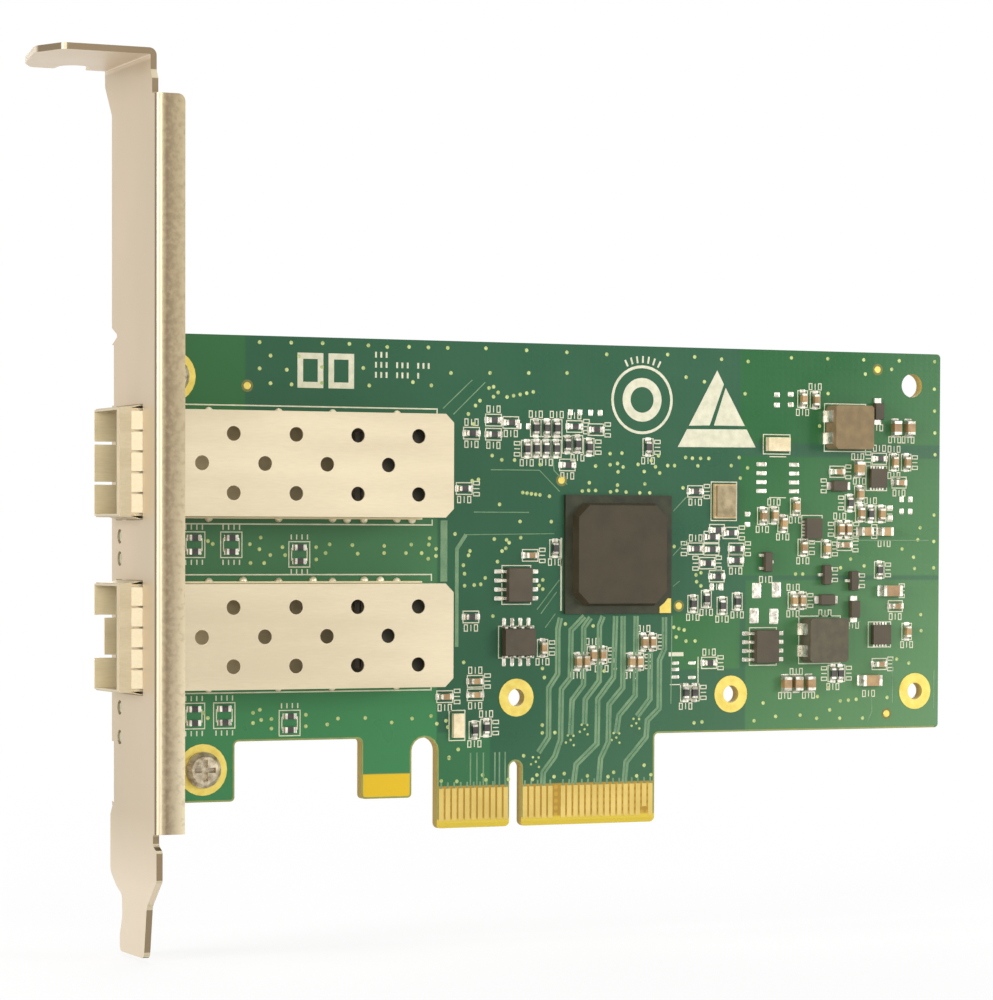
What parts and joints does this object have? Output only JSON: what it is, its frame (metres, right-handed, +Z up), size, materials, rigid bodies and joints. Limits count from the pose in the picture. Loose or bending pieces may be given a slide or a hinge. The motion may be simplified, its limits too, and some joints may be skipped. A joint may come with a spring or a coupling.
{
  "type": "network interface card",
  "caption": "Network interface card with two open module cages, a keyed gold edge connector, a controller chip and a full-height folded steel bracket.",
  "frame": {"origin": "middle of the key notch on the board's component face, at the bottom of the edge tongue", "axes": "+X along the board away from the bracket, +Y into the board from the component side, +Z up out of the slot"},
  "size_m": [0.1433, 0.0215, 0.1201],
  "materials": {
    "board_laminate": "semi-gloss solder mask",
    "bracket_steel": "satin plated",
    "screw_steel": "bright",
    "gold_plate": "bright gold plate",
    "substrate_laminate": "dull",
    "chip_mould": "fine matt",
    "tin_plate": "solder bright",
    "brown_ferrite": "dull",
    "grey_ferrite": "dull",
    "crystal_lid": "satin",
    "tan_ceramic": "fired",
    "black_film": "glaze",
    "lamp_plastic": "moulded",
    "lamp_lens": "clear",
    "cage_steel": "nickel plated",
    "spring_steel": "nickel plated",
    "connector_plastic": "moulded",
    "contact_metal": "gold plated"
  },
  "bodies": {
    "root": {"board": "board_laminate", "bracket": "bracket_steel", "bracket_screws": "screw_steel", "edge_fingers_front": "gold_plate", "edge_fingers_back": "gold_plate", "mounting_hole_rings": "gold_plate", "controller_substrate": "substrate_laminate", "controller_cap": "chip_mould", "memory_chip": "chip_mould", "settings_chip": "chip_mould", "switch_chip": "chip_mould", "memory_chip_leads": "tin_plate", "settings_chip_leads": "tin_plate", "switch_chip_leads": "tin_plate", "upper_power_inductor": "brown_ferrite", "lower_power_inductor": "grey_ferrite", "inductor_terminals": "tin_plate", "input_regulator": "chip_mould", "core_regulator": "chip_mould", "auxiliary_regulator": "chip_mould", "regulator_lands": "tin_plate", "transistors": "chip_mould", "transistor_leads": "tin_plate", "diodes": "chip_mould", "diode_terminals": "tin_plate", "main_crystal_base": "gold_plate", "main_crystal_lid": "crystal_lid", "small_crystal": "crystal_lid", "line_filter": "crystal_lid", "small_capacitors": "tan_ceramic", "large_capacitors": "tan_ceramic", "large_capacitors_ends": "tin_plate", "resistors": "black_film", "resistor_arrays": "black_film", "resistor_array_lands": "tin_plate", "status_light_bodies": "lamp_plastic", "status_light_lenses": "lamp_lens", "upper_cage_cover": "cage_steel", "upper_cage_base": "cage_steel", "upper_cage_springs": "spring_steel", "upper_host_connector": "connector_plastic", "upper_host_contacts": "contact_metal", "lower_cage_cover": "cage_steel", "lower_cage_base": "cage_steel", "lower_cage_springs": "spring_steel", "lower_host_connector": "connector_plastic", "lower_host_contacts": "contact_metal"}
  },
  "joints": []
}
